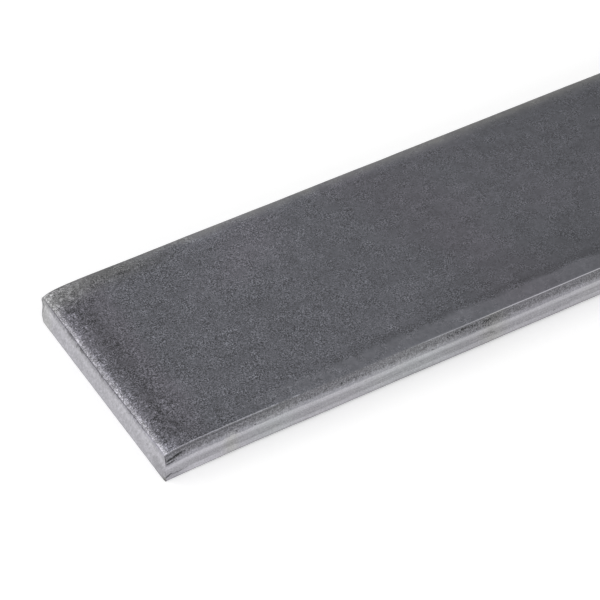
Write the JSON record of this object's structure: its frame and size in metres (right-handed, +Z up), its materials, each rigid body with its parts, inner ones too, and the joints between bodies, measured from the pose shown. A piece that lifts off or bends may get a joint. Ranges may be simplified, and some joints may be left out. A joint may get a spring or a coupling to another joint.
{
  "type": "steel flat bar",
  "caption": "Hot rolled steel flat bar of stock length, with ridged rolled sides and sheared ends, to be cut, drilled or welded into frames and brackets.",
  "frame": {"origin": "centre of the underside that the bar lies on, half way along it", "axes": "+X along the bar's length, +Y across its width, +Z up through its thickness"},
  "size_m": [0.9144, 0.0382, 0.0063],
  "materials": {
    "rolled_steel": "dark grey mill scale on the rolled faces, worn bright along the sides, bare cut steel on the sheared ends"
  },
  "bodies": {
    "root": {"flat_bar": "rolled_steel"}
  },
  "joints": []
}
